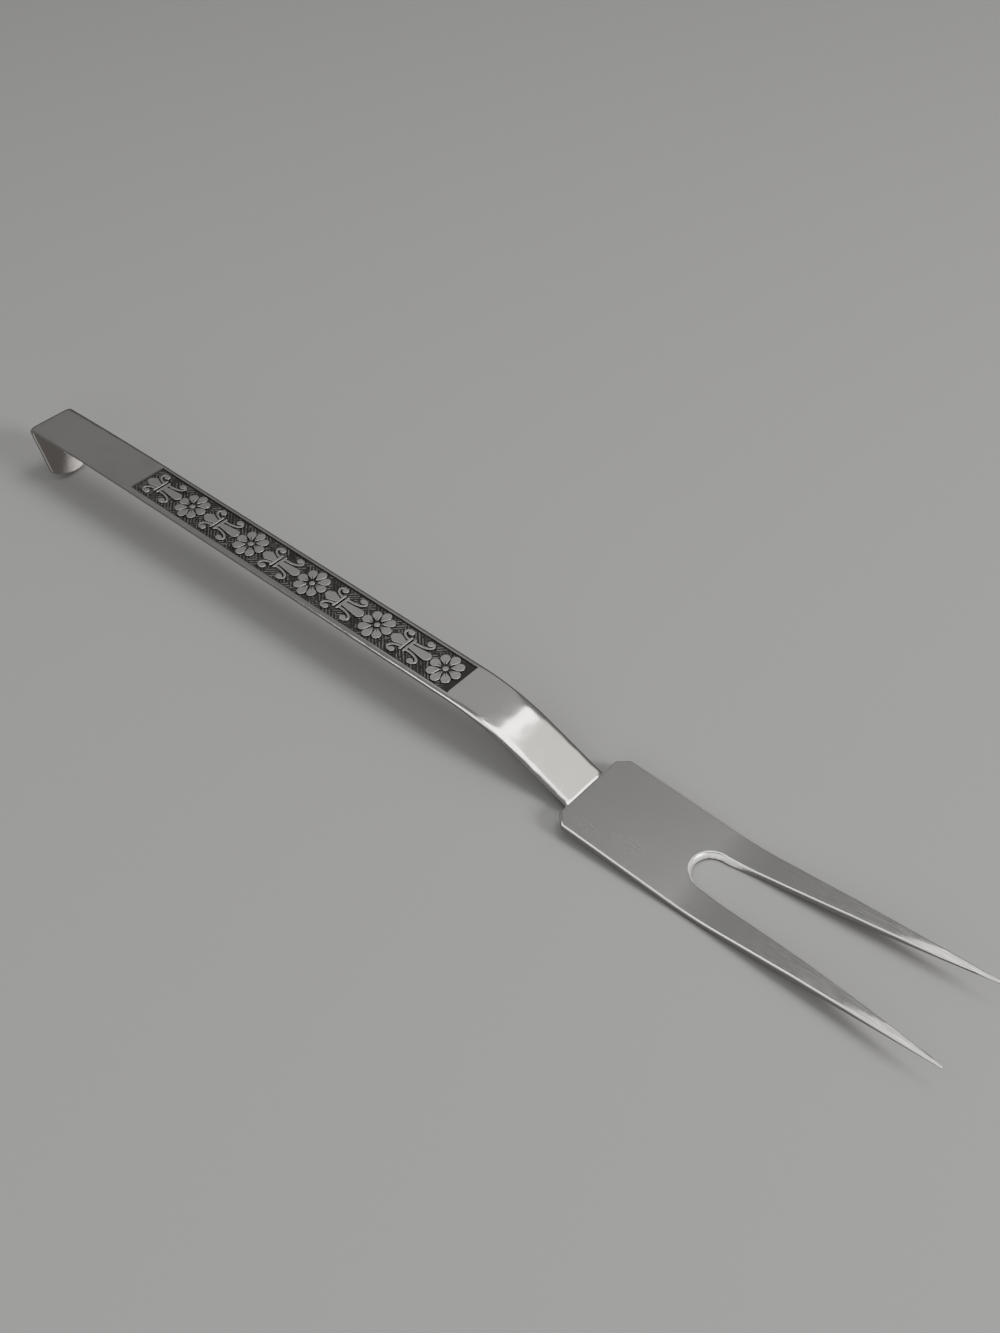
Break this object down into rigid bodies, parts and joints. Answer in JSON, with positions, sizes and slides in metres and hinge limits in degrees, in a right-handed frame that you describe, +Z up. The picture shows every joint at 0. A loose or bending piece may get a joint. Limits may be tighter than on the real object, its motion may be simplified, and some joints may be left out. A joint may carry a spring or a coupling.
{
  "type": "carving fork",
  "caption": "Stainless carving fork: a strap handle with an embossed panel and a folded hanging hook, spot-welded under a plate head with a pair of long tines ground to points.",
  "frame": {"origin": "on the table under the middle of the fork's length and width, as it lies on its tine bend and on the tongue of its hook", "axes": "+X from the hook towards the tine points, +Y to the left seen from the hook, +Z up from the table"},
  "size_m": [0.3256, 0.0286, 0.018],
  "materials": {
    "strap_steel": "polished to satin stainless strip, with a darkened hatched ground in the embossed panel",
    "head_steel": "satin stainless plate, ground lengthwise on the tines",
    "weld_steel": "fused weld metal, hidden in the lap"
  },
  "bodies": {
    "root": {"handle_strap": "strap_steel", "fork_head": "head_steel", "spot_weld_left": "weld_steel", "spot_weld_right": "weld_steel"}
  },
  "joints": []
}
